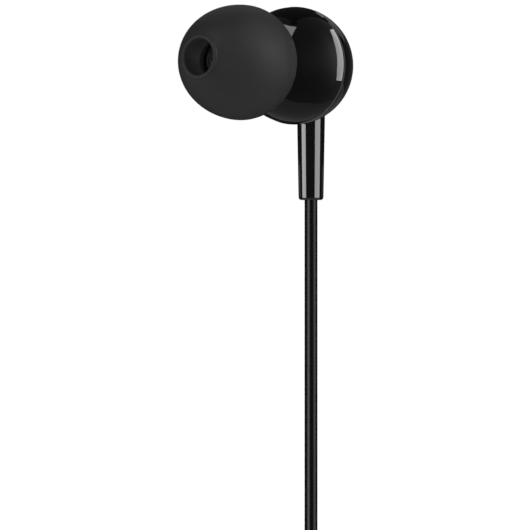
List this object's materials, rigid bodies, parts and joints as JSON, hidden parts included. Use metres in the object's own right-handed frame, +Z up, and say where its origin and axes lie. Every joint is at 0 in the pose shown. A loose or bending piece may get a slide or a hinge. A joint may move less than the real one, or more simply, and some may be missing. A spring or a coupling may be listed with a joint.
{
  "type": "wired earphones",
  "caption": "In-ear wired earphones: ball-shaped glossy housings, silicone tips, short stems, thin leads, splitter, hank of folded lead and a stereo jack plug.",
  "frame": {"origin": "middle of the right ear tip at its widest section, where the ear holds the earpiece", "axes": "+Z up along the stem and the hanging lead of the right earpiece; -Y is the way its round housing faces, towards the ear; +X to the right seen from there"},
  "size_m": [0.0313, 0.0273, 0.1479],
  "materials": {
    "silicone": "matte silicone",
    "gloss_shell": "piano-gloss moulded plastic",
    "gloss_stem": "glossy moulded plastic",
    "disc": "dark spun metal inlay",
    "soft_moulding": "satin soft moulding",
    "jacket": "satin cable jacket",
    "grip": "fine satin moulding",
    "tie": "matte coated tie",
    "mesh": "woven steel mesh",
    "foam": "open foam",
    "paper": "damping paper",
    "frame_metal": "stamped plated metal",
    "film": "thin polymer film",
    "copper": "enamelled copper winding",
    "pole_steel": "zinc-plated steel",
    "magnet": "nickel-plated magnet",
    "board": "circuit board",
    "solder": "solder",
    "wire_enamel": "enamelled wire",
    "plug_gold": "gold-plated contact",
    "insulator": "black insulating ring"
  },
  "bodies": {
    "root": {"right_front_shell": "gloss_shell", "right_rear_shell": "gloss_shell", "right_rear_disc": "disc", "right_stem_sleeve": "gloss_stem", "right_cable_grommet": "soft_moulding", "right_cable_knot": "jacket", "right_nozzle_mesh": "mesh", "right_nozzle_damper": "foam", "right_seal_ring": "foam", "right_driver_grille": "mesh", "right_driver_frame": "frame_metal", "right_surround": "film", "right_top_plate": "pole_steel", "right_magnet": "magnet", "right_yoke": "pole_steel", "right_damping_disc": "paper", "right_terminal_board": "board", "right_solder_joints": "solder", "right_inner_wires": "wire_enamel", "left_front_shell": "gloss_shell", "left_rear_shell": "gloss_shell", "left_rear_disc": "disc", "left_stem_sleeve": "gloss_stem", "left_cable_grommet": "soft_moulding", "left_cable_knot": "jacket", "left_nozzle_mesh": "mesh", "left_nozzle_damper": "foam", "left_seal_ring": "foam", "left_driver_grille": "mesh", "left_driver_frame": "frame_metal", "left_surround": "film", "left_top_plate": "pole_steel", "left_magnet": "magnet", "left_yoke": "pole_steel", "left_damping_disc": "paper", "left_terminal_board": "board", "left_solder_joints": "solder", "left_inner_wires": "wire_enamel", "right_lead": "jacket", "left_lead": "jacket", "main_lead": "jacket", "right_hank": "jacket", "left_hank": "jacket", "main_hank": "jacket", "splitter": "soft_moulding", "wire_tie": "tie", "plug_relief": "soft_moulding", "plug_grip": "grip", "plug_sleeve": "plug_gold", "plug_ring": "plug_gold", "plug_tip": "plug_gold", "plug_insulators": "insulator"},
    "right_tip": {"right_ear_tip": "silicone"},
    "left_tip": {"left_ear_tip": "silicone"},
    "right_diaphragm_unit": {"right_diaphragm": "film", "right_voice_coil": "copper"},
    "left_diaphragm_unit": {"left_diaphragm": "film", "left_voice_coil": "copper"}
  },
  "joints": [
    {"name": "right_tip_pull", "type": "slide", "parent": "root", "child": "right_tip", "axis": [-0.1547, -0.9879, 0.014], "range_m": [0, 0.01]},
    {"name": "left_tip_pull", "type": "slide", "parent": "root", "child": "left_tip", "axis": [-0.9879, 0.1547, -0.014], "range_m": [0, 0.01]},
    {"name": "right_diaphragm_travel", "type": "slide", "parent": "root", "child": "right_diaphragm_unit", "axis": [0, -1, 0], "range_m": [-0.00015, 0.00015], "stiffness_N_per_m": 10},
    {"name": "left_diaphragm_travel", "type": "slide", "parent": "root", "child": "left_diaphragm_unit", "axis": [-1, 0, 0], "range_m": [-0.00015, 0.00015], "stiffness_N_per_m": 10}
  ]
}
